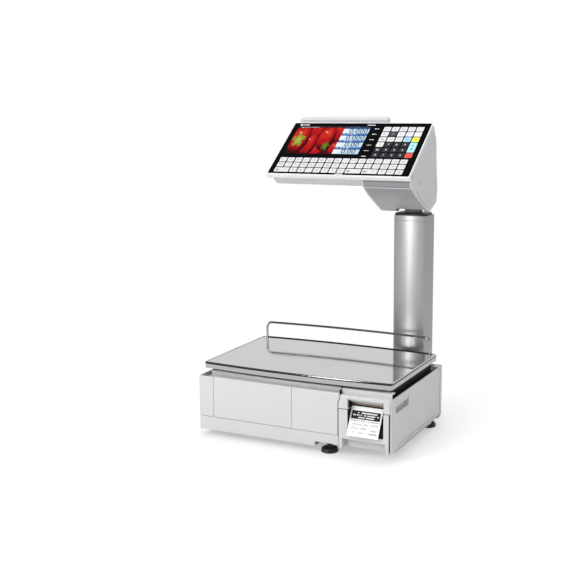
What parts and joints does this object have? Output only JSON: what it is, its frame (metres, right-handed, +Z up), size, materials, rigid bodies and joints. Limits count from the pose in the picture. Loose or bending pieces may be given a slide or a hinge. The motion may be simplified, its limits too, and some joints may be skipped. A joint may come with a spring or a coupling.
{
  "type": "retail price scale",
  "caption": "Counter scale for pricing goods: polished weighing tray, pull-out label printer, rear column, sloping operator console with screen and flat keys, and a customer display.",
  "frame": {"origin": "on the table, under the middle of the base housing", "axes": "+X to the operator's right, +Y from the operator to the customer, +Z up"},
  "size_m": [0.41, 0.3778, 0.6216],
  "materials": {
    "housing_grey": "fine satin",
    "deck_grey": "satin",
    "console_silver": "satin silver",
    "drum_grey": "satin",
    "black_plastic": "fine grain",
    "overlay_black": "printed film, white and coloured keys",
    "screen_glass": "lit display behind clear film",
    "stainless": "polished",
    "chrome_wire": "polished",
    "steel": "zinc plated",
    "tear_steel": "tempered, straw brown",
    "alloy": "satin anodised",
    "cell_alloy": "machined",
    "rubber": "matte",
    "paper": "coated label paper",
    "circuit": "green circuit board",
    "vial": "liquid-filled vial"
  },
  "bodies": {
    "base": {"lower_housing": "housing_grey", "upper_housing": "deck_grey", "left_side_cover": "housing_grey", "front_fascia": "housing_grey", "printer_blank_cover": "housing_grey", "printer_lintel": "housing_grey", "tear_bar": "tear_steel", "level_bubble": "vial", "door_hinge_pin": "steel", "chassis_plate": "steel", "load_cell": "cell_alloy", "power_supply": "steel", "main_board": "circuit", "power_inlet": "black_plastic", "connector_panel": "steel", "column": "alloy", "column_saddle": "alloy", "column_base_cap": "black_plastic", "column_top_cap": "alloy", "column_bolt_low": "steel", "column_bolt_high": "steel", "tilt_bracket": "steel"},
    "load_receptor": {"spider": "cell_alloy", "tray_pad_front_left": "rubber", "tray_pad_front_right": "rubber", "tray_pad_back_right": "rubber", "tray_pad_back_left": "rubber"},
    "weighing_tray": {"tray": "stainless", "guard_rail": "chrome_wire"},
    "door": {"side_door": "housing_grey"},
    "switch_rocker": {"power_switch": "black_plastic"},
    "cassette": {"cassette_front": "housing_grey", "cassette_frame": "steel", "roll_spindle": "black_plastic", "feed_motor": "steel", "drive_belt": "rubber", "printed_label": "paper"},
    "paper_roll": {"label_roll": "paper"},
    "platen": {"platen_roller": "rubber"},
    "motor_drive": {"motor_pulley": "black_plastic"},
    "takeup": {"takeup_spool": "black_plastic"},
    "head_lever": {"print_head": "steel"},
    "console": {"console_frame": "console_silver", "keyboard_overlay": "overlay_black", "operator_screen": "screen_glass", "console_pan": "console_silver", "hump_shell": "console_silver", "left_cheek": "console_silver", "right_cheek": "console_silver", "console_bracket": "steel", "tilt_pin": "steel", "drum_hub": "drum_grey"},
    "customer_display": {"display_cradle": "drum_grey", "display_shell": "console_silver", "display_bezel": "black_plastic", "customer_screen": "screen_glass"},
    "foot_fl": {"foot_front_left": "black_plastic"},
    "foot_fr": {"foot_front_right": "black_plastic"},
    "foot_bl": {"foot_back_left": "black_plastic"},
    "foot_br": {"foot_back_right": "black_plastic"}
  },
  "joints": [
    {"name": "load_deflection", "type": "slide", "parent": "base", "child": "load_receptor", "axis": [0, 0, 1], "range_m": [-0.0005, 0], "stiffness_N_per_m": 60000, "deforming": ["load_cell"]},
    {"name": "tray_lift", "type": "slide", "parent": "load_receptor", "child": "weighing_tray", "axis": [0, 0, 1], "range_m": [0, 0.06]},
    {"name": "door_swing", "type": "hinge", "parent": "base", "child": "door", "pos_m": [0.201, 0.127, 0.066], "axis": [0, 0, 1], "range_deg": [0, 95]},
    {"name": "switch_rock", "type": "hinge", "parent": "base", "child": "switch_rocker", "pos_m": [-0.107, 0.137, 0.047], "axis": [1, 0, 0], "range_deg": [0, 16]},
    {"name": "cassette_slide", "type": "slide", "parent": "base", "child": "cassette", "axis": [0, -1, 0], "range_m": [0, 0.14]},
    {"name": "roll_spin", "type": "hinge", "parent": "cassette", "child": "paper_roll", "pos_m": [0.151, 0.008, 0.056], "axis": [1, 0, 0], "continuous": true},
    {"name": "platen_spin", "type": "hinge", "parent": "cassette", "child": "platen", "pos_m": [0.151, -0.108, 0.084], "axis": [1, 0, 0], "continuous": true},
    {"name": "motor_spin", "type": "hinge", "parent": "cassette", "child": "motor_drive", "pos_m": [0.1095, -0.108, 0.056], "axis": [1, 0, 0], "continuous": true},
    {"name": "spool_spin", "type": "hinge", "parent": "cassette", "child": "takeup", "pos_m": [0.151, 0.07, 0.046], "axis": [1, 0, 0], "continuous": true},
    {"name": "head_lift", "type": "hinge", "parent": "cassette", "child": "head_lever", "pos_m": [0.151, -0.084, 0.087], "axis": [-1, 0, 0], "range_deg": [0, 10]},
    {"name": "console_tilt", "type": "hinge", "parent": "base", "child": "console", "pos_m": [0.1295, 0.168, 0.449], "axis": [1, 0, 0], "range_deg": [-10, 10]},
    {"name": "display_tilt", "type": "hinge", "parent": "console", "child": "customer_display", "pos_m": [0.02, 0.17, 0.532], "axis": [1, 0, 0], "range_deg": [-25, 5]},
    {"name": "foot_level_front_left", "type": "slide", "parent": "base", "child": "foot_fl", "axis": [0, 0, 1], "range_m": [-0.006, 0]},
    {"name": "foot_level_front_right", "type": "slide", "parent": "base", "child": "foot_fr", "axis": [0, 0, 1], "range_m": [-0.006, 0]},
    {"name": "foot_level_back_left", "type": "slide", "parent": "base", "child": "foot_bl", "axis": [0, 0, 1], "range_m": [-0.006, 0]},
    {"name": "foot_level_back_right", "type": "slide", "parent": "base", "child": "foot_br", "axis": [0, 0, 1], "range_m": [-0.006, 0]}
  ],
  "couplings": [
    {"joint": "platen_spin", "follows": "roll_spin", "ratio": 5.6667},
    {"joint": "motor_spin", "follows": "roll_spin", "ratio": 5.6667},
    {"joint": "spool_spin", "follows": "roll_spin", "ratio": 2.2667}
  ]
}
